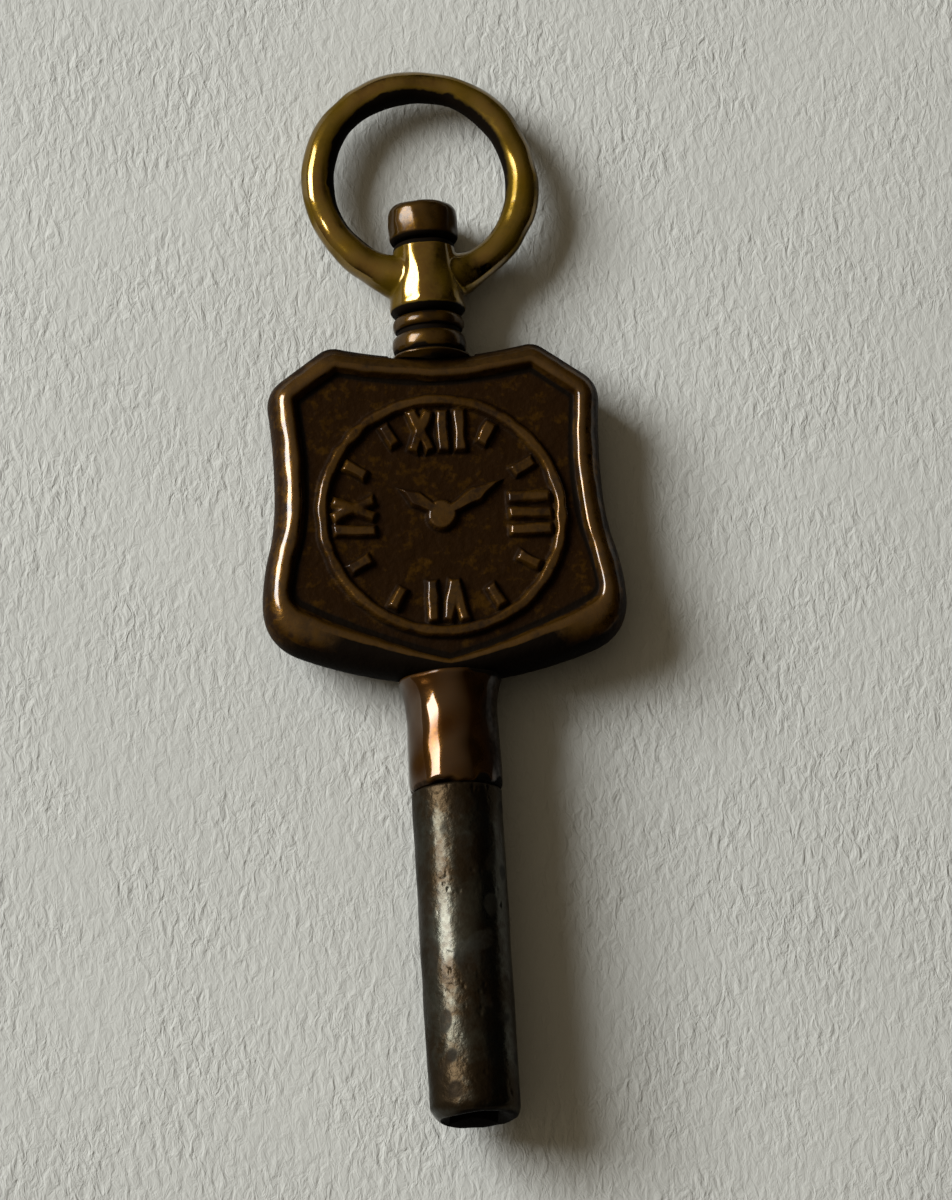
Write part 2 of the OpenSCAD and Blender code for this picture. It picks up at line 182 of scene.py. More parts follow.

# How far patches and flecks shift the wear, and how dirt and painted shade, tarnish, rubbing and wax change
# the gloss
PATCH_SHIFT, FLECK_SHIFT, DIRT_AND_SHADE_ROUGHNESS = 0.35, 0.22, 0.7
TARNISH_SPECULAR, DIRT_AND_SHADE_SPECULAR, RUBBED_PITTING, WAX_ROUGHNESS = 0.08, 0.05, 0.25, 0.6
GLANCING_TINT = "#cbcbcb"


def aged_metal(name, clean, tarnish, dirt_and_shade_colour, shine, film, bare, patch, grain, bump):
    """A metal that is tarnished in patches, clean where its rubbed attribute says so, and dark with dirt and
    painted shade where its grime_and_shade attribute says so, in the colour dirt_and_shade_colour. shine is
    its roughness where clean and tarnished, film the wax on clean places and bare how metallic tarnish is.
    patch and grain are its patterns' sizes and bump the grain's depth, in millimetres. Real grain is too fine
    to show, so it is drawn coarser."""
    made = bpy.data.materials.new(name)
    tree = emptied(made)
    place = node(tree, "TexCoord").outputs["Object"]
    blots = node(tree, "TexNoise", {"Vector": place, "Scale": pitch(patch), "Detail": 5.0, "Roughness": 0.6})
    speck = node(tree, "TexNoise", {"Vector": place, "Scale": pitch(grain), "Detail": 3.0, "Roughness": 0.55})
    rubbed = node(tree, "Attribute", attribute_name="rubbed").outputs["Fac"]
    grime_and_shade = node(tree, "Attribute", attribute_name="grime_and_shade").outputs["Fac"]
    spread = node(tree, "MapRange", {
        "Value": blots, "From Min": 0.34, "From Max": 0.66, "To Min": -PATCH_SHIFT, "To Max": PATCH_SHIFT})
    fleck = node(tree, "MapRange", {
        "Value": speck, "From Min": 0.3, "From Max": 0.7, "To Min": -FLECK_SHIFT, "To Max": FLECK_SHIFT})
    uneven = node(tree, "Math", {0: spread, 1: fleck}, operation="ADD")
    bright = node(tree, "Math", {0: rubbed, 1: uneven}, operation="ADD", use_clamp=True)
    dirt_and_shade_amount = node(tree, "Math", {0: grime_and_shade, 1: fleck}, operation="ADD", use_clamp=True)
    dirt_and_shade_amount = node(tree, "Math", {0: dirt_and_shade_amount, 1: grime_and_shade}, operation="MULTIPLY", use_clamp=True)
    colour = node(tree, "Mix", {FACTOR: bright, COLOUR_A: rgba(tarnish), COLOUR_B: rgba(clean)},
                  data_type="RGBA").outputs[2]
    colour = node(tree, "Mix", {FACTOR: dirt_and_shade_amount, COLOUR_A: colour, COLOUR_B: rgba(dirt_and_shade_colour)},
                  data_type="RGBA").outputs[2]
    # Roughness, metal and wax each go from tarnish to clean metal, and from there to dirt and painted shade
    looks = {}
    for look, by, start, stop, tarnished, cleaned, dirty in (
            ("Roughness", bright, 0.0, 1.0, shine[1], shine[0], DIRT_AND_SHADE_ROUGHNESS),
            ("Metallic", bright, 0.0, 1.0, bare, 1.0, 0.0),
            ("Coat Weight", rubbed, 0.1, 0.5, 0.0, film, 0.0)):
        ramp = node(tree, "MapRange", {
            "Value": by, "From Min": start, "From Max": stop, "To Min": tarnished, "To Max": cleaned})
        looks[look] = node(tree, "Mix", {FACTOR: dirt_and_shade_amount, NUMBER_A: ramp, NUMBER_B: dirty})
    mirror = node(tree, "MapRange", {"Value": dirt_and_shade_amount, "To Min": TARNISH_SPECULAR, "To Max": DIRT_AND_SHADE_SPECULAR})
    pitted = node(tree, "MapRange", {"Value": rubbed, "To Min": 1.0, "To Max": RUBBED_PITTING})
    relief = node(tree, "Bump", {"Height": speck, "Distance": bump * MM, "Strength": pitted})
    shader = node(tree, "BsdfPrincipled", {
        **looks, "Base Color": colour, "Normal": relief, "Specular IOR Level": mirror,
        "Specular Tint": rgba(linear(GLANCING_TINT)), "Coat Roughness": WAX_ROUGHNESS * shine[0]})
    node(tree, "OutputMaterial", {"Surface": shader})
    return made


def mottle(points, wavelength, seed, waves=28):
    """A smooth random field over points in millimetres, about 1 high, that varies over wavelength."""
    draw = np.random.default_rng(seed)
    lines = draw.normal(size=(waves, 3))
    lines /= np.linalg.norm(lines, axis=1)[:, None]
    lines *= 2 * math.pi / (wavelength * draw.uniform(0.75, 1.35, waves))[:, None]
    phases = draw.uniform(0, 2 * math.pi, waves)
    return np.cos(np.asarray(points) @ lines.T + phases).sum(axis=-1) * math.sqrt(2 / waves)


def layered(points, layers, waves=28):
    """A sum of mottled layers, each given by its height and wavelength in millimetres, its seed, and how
    fast it changes along the key's axis: at 0 it is the same all along it."""
    return sum(high * mottle(points * [1, along, 1], wavelength, seed, waves)
               for high, wavelength, seed, along in layers)


def step(x, low, high):
    """A smooth step from 0 at low to 1 at high."""
    t = np.clip((np.asarray(x, float) - low) / (high - low), 0, 1)
    return t * t * (3 - 2 * t)


def refine(line, pace):
    """A polyline with points added so that none are further apart than pace."""
    line = np.asarray(line, float)
    out = [line[:1]]
    for a, b in zip(line[:-1], line[1:]):
        n = max(1, math.ceil(np.linalg.norm(b - a) / pace))
        out.append(a + (b - a) * np.arange(1, n + 1)[:, None] / n)
    return np.concatenate(out)


def arc(centre, reach_x, reach_y, start, stop, n):
    """Points of an elliptical arc, with angles in degrees."""
    a = np.radians(np.linspace(start, stop, n))
    return np.stack([centre[0] + reach_x * np.cos(a), centre[1] + reach_y * np.sin(a)], axis=1)


def turns(n):
    """Equal steps of angle round a circle."""
    return np.arange(n) * 2 * math.pi / n


def skin(name, rows, loop=False):
    """A closed mesh over rows of points in millimetres. A row of one point is a pole, and in a loop the last
    row meets the first."""
    points = np.concatenate(rows)
    starts = np.cumsum([0] + [len(r) for r in rows])
    faces = []
    for k in range(len(rows) if loop else len(rows) - 1):
        after = (k + 1) % len(rows)
        low, high = starts[k], starts[after]
        n = max(len(rows[k]), len(rows[after]))
        i = np.arange(n)
        j = (i + 1) % n
        if len(rows[k]) == 1:
            faces += np.stack([np.full(n, low), high + j, high + i], axis=1).tolist()
        elif len(rows[after]) == 1:
            faces += np.stack([low + i, low + j, np.full(n, high)], axis=1).tolist()
        else:
            faces += np.stack([low + i, low + j, high + j, high + i], axis=1).tolist()
    mesh = bpy.data.meshes.new(name)
    mesh.from_pydata((points * MM).tolist(), [], faces)
    return mesh


def on_shaft(r, h, angles):
    """Points in space for radii and heights at angles about the axis."""
    return np.stack([r * np.sin(angles), h, r * np.cos(angles)], axis=-1)


def lathe(profile, around, y, shape=None):
    """Rows of points turned about the key's axis from a profile of (radius, height) above y. shape moves
    a row's radii and heights, given their points."""
    angles = turns(around)
    rows = []
    for r, h in profile:
        if r < 1e-6:
            rows.append(np.array([[0.0, y + h, 0.0]]))
            continue
        rr, hh = np.full(around, r), np.full(around, h)
        if shape:
            rr, hh = shape(rr, hh, on_shaft(rr, hh, angles))
        rows.append(on_shaft(rr, y + hh, angles))
    return rows


def face_out(target, parts):
    """Fills a mesh with closed parts, with their faces turned outwards."""
    work = bmesh.new()
    for part in parts:
        work.from_mesh(part)
    bmesh.ops.recalc_face_normals(work, faces=work.faces)
    work.to_mesh(target)
    work.free()
    return target


# Least and most that the wear, dirt and painted-shade attributes hold
WEAR_AND_SHADE_RANGE = (-0.5, 1.3)


def finish_piece(name, mesh, body, cad_node, material, rubbed, grime_and_shade):
    """Makes an object of a mesh, with its wear, dirt and painted-shade attributes, on its body and in its CAD
    node's place.
    """
    face_out(mesh, [mesh])
    mesh.polygons.foreach_set("use_smooth", np.ones(len(mesh.polygons), bool))
    for key, values in (("rubbed", rubbed), ("grime_and_shade", grime_and_shade)):
        values = np.clip(values, *WEAR_AND_SHADE_RANGE).astype(np.float32)
        mesh.attributes.new(key, "FLOAT", "POINT").data.foreach_set("value", values)
    mesh.materials.clear()
    mesh.materials.append(material)
    mesh.polygons.foreach_set("material_index", np.zeros(len(mesh.polygons), np.int32))
    piece = bpy.data.objects.new(name, mesh)
    bpy.context.collection.objects.link(piece)
    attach(piece, body)
    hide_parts(cad_node)


# Fits and seats that the CAD source shares, in millimetres
TIP_FLAT, NECK_SINK, END_PLAY, WIRE_SEAT, SOLDER_GAP = 0.08, 0.1, 0.07, 1.41, 0.03
TANG_R, TANG_L, BORE_R = 0.9, 1.9, 0.93
DRILL_R, DRILL_L, SINK_R, SINK_SLOPE = 0.8, 7.7, 1.25, 1.5
POINT_SLOPE = math.tan(math.radians(59))
TENON_R, TENON_L = 0.5, 2.0
PIN_DRIVE, PIN_HOLE_R, PIN_HOLE_SPARE = 1.2, 0.63, 0.1
COLLAR_BORE_R, COLLAR_ROUND = 0.65, 0.36
DIAL_AT = 5.95

# Points round a turned piece
AROUND = 288


def places(sizes):
    """Heights along the key's axis, in millimetres from the pipe's mouth."""
    ferrule = mm(sizes.pipe_l)
    seat = ferrule + mm(sizes.ferrule_l)
    tip = seat - TIP_FLAT
    neck = tip + mm(sizes.shield_h) - NECK_SINK
    collar = neck + mm(sizes.neck_h) + END_PLAY
    button = collar + mm(sizes.collar_l) + END_PLAY
    ring = collar + WIRE_SEAT + mm(sizes.ring_d) / 2
    return {"ferrule": ferrule, "seat": seat, "tip": tip, "neck": neck, "collar": collar,
            "button": button, "ring": ring}


# The pipe: its mouth's rounding, its shoulder's chamfer, how far it is worn and filed, its pits and dents
LIP, LIP_L, SHOULDER, MOUTH_WEAR, FILED = 0.24, 0.42, 0.07, 0.02, 0.12
PIT_START, PIT_DEPTH = 1.5, 0.022
PIPE_DENTS = ((0.006, 2.2, 11, 1), (0.004, 0.8, 12, 0.6))
PIPE_PITS = ((1, 0.5, 13, 1), (0.6, 0.2, 18, 1))
PIPE_MOUTH = ((0.025, 2.6, 15, 0), (0.006, 0.7, 16, 1))


class WATCHKEY_OT_pipe(bpy.types.Operator):
    """Adds the steel pipe, with its worn mouth and square socket"""

    bl_idname = "watch_key.add_pipe"
    bl_label = "Pipe"

    def execute(self, context):
        sizes, finish, wear = settings(context)
        r, l = mm(sizes.pipe_d) / 2, mm(sizes.pipe_l)
        half_w, depth = mm(sizes.socket_w) / 2, mm(sizes.socket_depth)
        tang = refine([[0, l + TANG_L], [TANG_R, l + TANG_L], [TANG_R, l], [r - SHOULDER, l],
                       [r, l - SHOULDER]], 0.2)
        wall = refine([[r, l - SHOULDER], [r, LIP_L]], 0.07)[1:]
        mouth = arc((r - LIP, LIP_L), LIP, LIP_L, 0, -90, 9)[1:]
        angles = turns(AROUND)

        def shape(rr, hh, at):
            pits = np.maximum(0, layered(at, PIPE_PITS) - PIT_START) * PIT_DEPTH
            pits *= step(mottle(at, 3.0, 14), -0.2, 0.9)
            filed = step(-np.sin(angles), 0.3, 0.95) * (1 - step(hh, 0.05, 0.5))
            near = 1 - step(hh, 0.0, 0.9)
            ragged = near * layered(at, PIPE_MOUTH)
            live = rr > TANG_R + 0.1
            sunk = wear * (layered(at, PIPE_DENTS) - pits) - MOUTH_WEAR * near - FILED * filed
            return rr + live * sunk, hh + live * wear * ragged * near

        rows = lathe(np.concatenate([tang, wall, mouth]), AROUND, 0, shape)
        # A countersink leads from the mouth into the square socket, which ends in a drilled hole
        square = half_w / np.maximum(np.abs(np.sin(angles)), np.abs(np.cos(angles)))
        lip = rows[-1][:, 1]
        meet = (SINK_R - square) / SINK_SLOPE
        for t in np.linspace(0, 1, 5):
            rows.append(on_shaft(SINK_R + (square - SINK_R) * t, lip * (1 - t) + meet * t, angles))
        for t in np.linspace(0, 1, 12)[1:]:
            rows.append(on_shaft(square, meet + (depth - meet) * t, angles))
        for h in (depth, DRILL_L):
            rows.append(on_shaft(DRILL_R, np.full(AROUND, h), angles))
        rows.append(np.array([[0.0, DRILL_L + DRILL_R / POINT_SLOPE, 0.0]]))
        mesh = skin("worn_pipe", rows)
        at = np.concatenate(rows)
        h = at[:, 1]
        hidden = np.hypot(at[:, 0], at[:, 2]) < SINK_R - 0.02
        # Bright where it was filed, dull under the ferrule and towards the mouth
        chamfer = step(-at[:, 0] / r, 0.3, 0.9) * (1 - step(h, 0.1, 0.5))
        rubbed = 0.25 + 0.09 * mottle(at, 2.6, 17) + 0.6 * chamfer - 0.25 * step(h, l - 3.0, l - 0.5)
        rubbed -= 0.22 * (1 - step(h, 2.0, 8.0))
        # Painted shade in the socket and on the mouth's end face, and dirt under the ferrule and in spots
        end = (1 - step(h, 0.03, 0.2)) * (1 - chamfer)
        spots = step(mottle(at * [1, 0.7, 1], 0.9, 19), 0.5, 1.7)
        grime_and_shade = np.where(hidden, 1.3, 0.35 * step(h, l - 0.35, l) + 1.1 * end + 0.7 * spots)
        # Drawn mild steel: grey-brown with age, its gloss broken up by rust spots and fine pits
        steel = aged_metal(
            "worn_drawn_steel", finish.pipe_steel, finish.pipe_rust, finish.dirt_and_shade,
            shine=(0.23, 0.34), film=0.25, bare=0.9, patch=1.6, grain=0.3, bump=0.03)
        finish_piece("worn_pipe", mesh, "key", "pipe", steel,
                     np.where(hidden, 0, rubbed), grime_and_shade)
        return {"FINISHED"}


# The ferrule: its foot's rounding, its waist's height, its rim's thickness, and its worn side and edges
FERRULE_ROUND, FERRULE_WAIST_AT, FERRULE_RIM_T = 0.22, 2.65, 0.12
FERRULE_DENTS = ((0.014, 1.9, 21, 0.6), (0.005, 0.9, 22, 1))
FERRULE_EDGE = ((0.05, 1.5, 23, 0), (0.02, 0.5, 24, 0))
FERRULE_LIP = ((0.035, 1.3, 25, 0),)


class WATCHKEY_OT_ferrule(bpy.types.Operator):
    """Adds the waisted ferrule between the pipe and the shield"""

    bl_idname = "watch_key.add_ferrule"
    bl_label = "Ferrule"

    def execute(self, context):
        sizes, finish, wear = settings(context)
        y, l = places(sizes)["ferrule"], mm(sizes.ferrule_l)
        foot, waist = mm(sizes.ferrule_foot_d) / 2, mm(sizes.ferrule_waist_d) / 2
        rim, bead = mm(sizes.ferrule_rim_d) / 2, FERRULE_RIM_T / 2
        edge, straight, waist_at = FERRULE_ROUND, 3 * FERRULE_ROUND, FERRULE_WAIST_AT
        t = np.linspace(0, 1, 26)[:, None]
        rise = np.concatenate([foot + (waist - foot) * (1 - np.cos(math.pi * t)) / 2,
                               straight + (waist_at - straight) * t], axis=1)
        flare = np.concatenate([waist + (rim - waist) * t * t,
                                waist_at + (l - FERRULE_RIM_T - waist_at) * t], axis=1)
        profile = np.concatenate([
            [[BORE_R, l], [BORE_R, 0]],
            refine([[BORE_R, 0], [foot - edge, 0]], 0.12)[1:],
            arc((foot - edge, edge), edge, edge, -90, 0, 8)[1:],
            refine([[foot, edge], [foot, straight]], 0.08)[1:],
            rise[1:], flare[1:],
            arc((rim - bead, l - bead), bead, bead, 0, 90, 5),
            refine([[rim - bead, l], [BORE_R, l]], 0.15)[1:-1]])

        def shape(rr, hh, at):
            live = step(rr, BORE_R + 0.05, BORE_R + 0.3)
            ragged = (1 - step(hh, 0.1, 0.7)) * live * layered(at, FERRULE_EDGE)
            lip = step(hh, l - 0.5, l) * live * layered(at, FERRULE_LIP)
            return (rr + live * wear * layered(at, FERRULE_DENTS) + lip * wear,
                    np.maximum(hh + wear * ragged, 0.0))

        rows = lathe(profile, AROUND, y, shape)
        mesh = skin("waisted_ferrule", rows, loop=True)
        at = np.concatenate(rows)
        h = at[:, 1] - y
        rubbed = 0.42 + 0.14 * mottle(at, 1.8, 26)
        # Dirt at the joints with the pipe and the shield, and painted shade down its right side
        grime_and_shade = 0.9 * (1 - step(h + 0.06 * mottle(at, 0.6, 27), 0.05, 0.3))
        grime_and_shade += 0.7 * step(h, l - 0.2, l - 0.06)
        grime_and_shade += 0.85 * step(at[:, 0] + 0.15 * mottle(at, 1.1, 28), 0.5, 1.3)
        # Coppery brass tube, rubbed smooth: red-brown under a warm gloss, dark where it meets the pipe
        copper = aged_metal(
            "rubbed_copper_brass", finish.ferrule_copper, finish.ferrule_patina, finish.dirt_and_shade,
            shine=(0.1, 0.19), film=1.0, bare=0.75, patch=1.3, grain=0.16, bump=0.004)
        finish_piece("waisted_ferrule", mesh, "key", "ferrule", copper, rubbed, grime_and_shade)
        return {"FINISHED"}


# The shield's outline: where its corners lie, the handles of its bends, and each corner's rounding, with
# what it loses for each millimetre that the outline is drawn in
LOBE_AT, WAIST_AT, SHOULDER_DROP, POINT_W, POINT_RISE = 1.58, 7.93, 1.14, 7.44, 0.5
TIP_BEND, LOBE_BEND, WAIST_BEND, TOP_BEND = (
    np.array(p) for p in ((2.6, 0.05), (-0.06, 2.5), (0.01, -1.93), (1.56, 0.02)))
LOBE_BULGE, SHOULDER_BEND = 0.07, -1.65
CORNERS = {"lobe": (1.5, 1.0), "shoulder": (0.7, 0.6), "point": (0.4, 0.33)}

# How far its points move for each such millimetre
TIP_IN, TIP_BEND_IN, LOBE_IN, SHOULDER_IN, POINT_IN_X, POINT_IN_Y = 0.72, 1.3, 1.3, 0.51, 0.21, 1.08

# Points on each stretch of half the outline, from the tip up
STRETCHES = (64, 27, 28, 26, 35, 16, 25, 10, 49)


def toward(a, b, d):
    """The point on the way from a to b at the distance d from a."""
    return a + d * (b - a) / np.linalg.norm(b - a)


def outline(sizes, inset):
    """The shield's outline in millimetres above its tip, drawn in by inset, anticlockwise from the tip."""
    h, lobe_x = mm(sizes.shield_h), mm(sizes.lobe_w) / 2
    tip = np.array([0, TIP_IN * inset])
    tip_c = TIP_BEND + [0, TIP_BEND_IN * inset]
    lobe = np.array([lobe_x + LOBE_BULGE - inset, LOBE_AT + LOBE_IN * inset])
    lobe_c = np.array([lobe_x + LOBE_BEND[0] - inset, LOBE_AT + LOBE_BEND[1]])
    waist = np.array([mm(sizes.waist_w) / 2 - inset, WAIST_AT])
    waist_c = waist + WAIST_BEND
    side = (lobe_c + waist_c) / 2
    shoulder = np.array([mm(sizes.shoulder_w) / 2 - inset, h - SHOULDER_DROP - SHOULDER_IN * inset])
    shoulder_c = np.array([waist[0], shoulder[1] + SHOULDER_BEND])
    point = np.array([POINT_W / 2 - POINT_IN_X * inset, h + POINT_RISE - POINT_IN_Y * inset])
    top = np.array([0, h - inset])
    top_c = top + TOP_BEND
    lobe_r, shoulder_r, point_r = (full - loss * inset for full, loss in CORNERS.values())
    lobe_a, lobe_b = toward(lobe, tip_c, lobe_r), toward(lobe, lobe_c, lobe_r)
    shoulder_a, shoulder_b = toward(shoulder, shoulder_c, shoulder_r), toward(shoulder, point, shoulder_r)
    point_a, point_b = toward(point, shoulder, point_r), toward(point, top_c, point_r)
    bends = [(tip, tip_c, lobe_a), (lobe_a, lobe, lobe_b), (lobe_b, lobe_c, side), (side, waist_c, waist),
             (waist, shoulder_c, shoulder_a), (shoulder_a, shoulder, shoulder_b),
             (shoulder_b, (shoulder_b + point_a) / 2, point_a), (point_a, point, point_b),
             (point_b, top_c, top)]
    half = []
    for (a, c, b), n in zip(bends, STRETCHES):
        t = np.arange(n)[:, None] / n
        half.append((1 - t) ** 2 * a + 2 * t * (1 - t) * c + t * t * b)
    half = np.concatenate(half + [top[None]])
    return np.concatenate([half, half[-2:0:-1] * [-1, 1]])


# The struck dial: widths and lengths of its strokes, in millimetres
RING_W, MARK_GAP, NUMERAL_H, STROKE_W, STROKE_PITCH, CROSS_W, BAR_L = 0.36, 0.2, 1.5, 0.38, 0.6, 1.0, 0.84

# Its hands: their width, their belly's place and root's width as shares, their boss, angles and lengths
HAND_W, HAND_BELLY, HAND_ROOT, BOSS_R = 0.54, 0.62, 0.4, 0.52
HANDS = ((305, 1.75), (60, 2.4))
QUARTERS = {0: "XII", 3: "III", 6: "VI", 9: "IX"}


def spun(at, degrees):
    """Points on the dial, turned so that what stands at that clockwise angle comes to the top."""
    a = math.radians(degrees)
    return at @ np.array([[math.cos(a), math.sin(a)], [-math.sin(a), math.cos(a)]])


def bar_distance(at, foot, head, width):
    """How far points lie outside a bar of that width from foot to head."""
    foot, head = np.array(foot), np.array(head)
    along = (head - foot) / np.linalg.norm(head - foot)
    middle, half = (foot + head) / 2, np.linalg.norm(head - foot) / 2
    u = (at - middle) @ along
    v = (at - middle) @ np.array([-along[1], along[0]])
    return np.maximum(np.abs(u) - half, np.abs(v) - width / 2)


def dial_distance(at, dial_r):
    """How far points about the dial's middle lie outside its raised ring, marks, hands and boss."""
    r = np.hypot(at[:, 0], at[:, 1])
    near = np.minimum(np.abs(r - dial_r + RING_W / 2) - RING_W / 2, r - BOSS_R)
    high = dial_r - RING_W - MARK_GAP
    arm = (CROSS_W - STROKE_W) / 2
    strokes = {"I": [(0, 0)], "V": [(0, -arm), (0, arm)], "X": [(-arm, arm), (arm, -arm)]}
    for hour in range(12):
        turned = spun(at, 30 * hour)
        if hour not in QUARTERS:
            near = np.minimum(near, bar_distance(turned, (0, high - BAR_L), (0, high), STROKE_W))
            continue
        widths = [STROKE_PITCH if letter == "I" else CROSS_W for letter in QUARTERS[hour]]
        x = -sum(widths) / 2
        for letter, w in zip(QUARTERS[hour], widths):
            x += w / 2
            for low, top in strokes[letter]:
                thick = STROKE_W * NUMERAL_H / math.hypot(NUMERAL_H, top - low)
                stroke = bar_distance(turned, (x + low, high - NUMERAL_H), (x + top, high), thick)
                near = np.minimum(near, stroke)
            x += w / 2
    for turn, l in HANDS:
        turned = spun(at, turn)
        x, y = np.abs(turned[:, 0]), turned[:, 1]
        belly, root = HAND_W / 2, HAND_W / 2 * HAND_ROOT
        lower = np.array([HAND_BELLY * l, -(belly - root)])
        upper = np.array([(1 - HAND_BELLY) * l, belly])
        below = ((x - root) * lower[0] + y * lower[1]) / np.linalg.norm(lower)
        above = ((x - belly) * upper[0] + (y - HAND_BELLY * l) * upper[1]) / np.linalg.norm(upper)
        near = np.minimum(near, np.maximum(np.maximum(below, above), -y))
    return near


# The shield's edge: its rounding, the rim's fall, the wall's slope and the flat strip at its foot. The rim
# is worn rounder and wider than the CAD solid's
EDGE_ROUND, RIM_DROP, WALL_SLOPE, FIELD_EDGE = 0.72, 0.12, 0.1, 0.12

# Spacing of points across that edge, rows across both fields, and the wear of dial, field and rim
SECTION_PACE, FRONT_ROWS, BACK_ROWS = 0.09, 92, 18
DIAL_WAVER = ((0.015, 0.9, 31, 1),)
FIELD_GRIT, GRIT_WAVES = ((0.002, 0.3, 33, 1), (0.004, 0.9, 34, 1)), 80
RIM_DENTS = ((0.005, 1.6, 35, 1), (0.002, 0.5, 36, 1))
RIM_SWAY = ((0.016, 3.2, 37, 1), (0.009, 0.9, 38, 1))


def at_height(line, z):
    """Points of a flat line at the height z."""
    return np.concatenate([line, np.full((len(line), 1), z)], axis=1)


class WATCHKEY_OT_shield(bpy.types.Operator):
    """Adds the struck shield, with its raised rims, sunken fields and dial"""

    bl_idname = "watch_key.add_shield"
    bl_label = "Shield"

    def execute(self, context):
        sizes, finish, wear = settings(context)
        half_t, rim_w = mm(sizes.shield_t) / 2, mm(sizes.rim_w)
        field_z = half_t - mm(sizes.field_depth)
        middle = np.array([0, DIAL_AT])
        # Section of the shield's edge: a rounded bead, then a sloped wall down to the field
        section = np.concatenate([
            arc((EDGE_ROUND, 0), EDGE_ROUND, half_t, 180, 90, 17),
            arc((EDGE_ROUND, half_t - RIM_DROP), rim_w - EDGE_ROUND, RIM_DROP, 90, 0, 7)[1:],
            [[rim_w + WALL_SLOPE, field_z], [rim_w + WALL_SLOPE + FIELD_EDGE, field_z]]])
        section = refine(section, SECTION_PACE)
        section[1:-1] = (section[:-2] + 2 * section[1:-1] + section[2:]) / 4
        sides = [at_height(outline(sizes, inset), z) for inset, z in section]
        edge = sides[-1][:, :2]

        def field(n):
            rows = [at_height(middle + s * (edge - middle), field_z) for s in np.linspace(1, 0, n)[1:-1]]
            return rows + [np.array([[*middle, field_z]])]

        front = sides + field(FRONT_ROWS)
        back = [r * [1, 1, -1] for r in sides[1:] + field(BACK_ROWS)]
        rows = back[::-1] + front
        at = np.concatenate(rows)
        on_field = np.abs(at[:, 2]) <= field_z + 1e-6
        facing = at[:, 2] > 0
        # Relief of the dial, struck a little unevenly, with drafted and worn sides
        plan = at[:, :2] - middle
        near = dial_distance(plan, mm(sizes.dial_d) / 2) + layered(at, DIAL_WAVER)
        struck = step(-near, -0.1, 0.06) * (facing & on_field)
        lift = struck * mm(sizes.relief_h) * (1 - 0.06 * wear * (1 + mottle(at, 2.5, 32)))
        grit = layered(at, FIELD_GRIT, GRIT_WAVES) * on_field * (1 - 0.6 * struck)
        dents = layered(at, RIM_DENTS) * ~on_field
        at[:, 2] += np.where(facing, 1, -1) * (lift + wear * (grit + dents))
        out = at[:, :2] - middle
        out /= np.maximum(np.linalg.norm(out, axis=1), 1e-6)[:, None]
        at[:, :2] += out * (wear * (layered(at, RIM_SWAY) * ~on_field))[:, None]
        # Seats of the ferrule at the tip and of the neck in the top edge
        for width, trim, y in ((sizes.ferrule_rim_d, np.maximum, TIP_FLAT),
                               (sizes.neck_foot_d, np.minimum, mm(sizes.shield_h) - NECK_SINK)):
            seated = np.abs(at[:, 0]) < mm(width) / 2 + SOLDER_GAP
            at[:, 1] = np.where(seated, trim(at[:, 1], y), at[:, 1])
        at[:, 1] += places(sizes)["tip"]
        mesh = skin("struck_shield", np.split(at, np.cumsum([len(r) for r in rows])[:-1]))
        # Rubbed on the rim and on the dial
        height = np.abs(at[:, 2])
        rim = step(height, half_t - 0.3, half_t - 0.05) * ~on_field
        rubbed = np.where(on_field, 0.41 * struck - 0.08, 0.1 + 0.45 * rim) + 0.05 * mottle(at, 1.9, 39)
        # Dirt in the field, darker still low down, and dirt and painted shade beside the dial's strokes and
        # along the foot of the wall
        ditch = np.exp(-(np.maximum(near, 0) / 0.09) ** 2) * (1 - struck) * (facing & on_field)
        row = np.abs(np.concatenate([np.full(len(r), i) for i, r in enumerate(rows)]) - len(back))
        corner = np.exp(-((row - len(section) + 2) / 2.2) ** 2)
        low_field = 1 - step(plan[:, 1], -5.2, -2.0)
        grime_and_shade = (0.36 + 0.3 * low_field) * on_field * (1 - struck) + 0.9 * ditch
        grime_and_shade += corner * (height < half_t - 0.15)
        # Dirt and painted shade on the edge between the two rims, and painted shade on the top and bottom
        # ends of the rim and edge
        outer = row < np.argmax(section[:, 1])
        shaded_ends = step(-out[:, 1], 0.5, 0.85) + 0.7 * step(out[:, 1], 0.6, 0.9)
        grime_and_shade += 0.8 * ~on_field * (1 - step(height, 0.3, 0.75))
        grime_and_shade += (0.85 * outer + 0.3 * ~on_field) * shaded_ends
        # Struck brass under an old brown patina: dark and grainy in the field, rubbed to metal on the rim
        brass = aged_metal(
            "struck_brass_brown_patina", finish.shield_brass, finish.shield_patina, finish.dirt_and_shade,
            shine=(0.17, 0.46), film=1.0, bare=0.25, patch=0.75, grain=0.22, bump=0.028)
        finish_piece("struck_shield", mesh, "key", "shield_body", brass, rubbed, grime_and_shade)
        return {"FINISHED"}


# The neck: its radii and heights from the flare of its foot to its upper bead, and its wear
UNDER_R, LOWER_R, GROOVE_R, UPPER_R = 1.18, 1.33, 1.12, 1.27
NECK_FOOT_T, UNDER_AT, GROOVE_AT, GROOVE_W = 0.08, 0.26, 1.03, 0.2
NECK_DENTS = ((0.008, 0.9, 41, 1), (0.012, 2.0, 42, 0))
NECK_FOOT_EDGE = ((0.05, 1.6, 43, 0),)

# How turned brass is finished on the neck and the pin
TURNED_BRASS = {"shine": (0.22, 0.4), "film": 0.5, "bare": 0.45, "patch": 1.2, "grain": 0.14, "bump": 0.006}


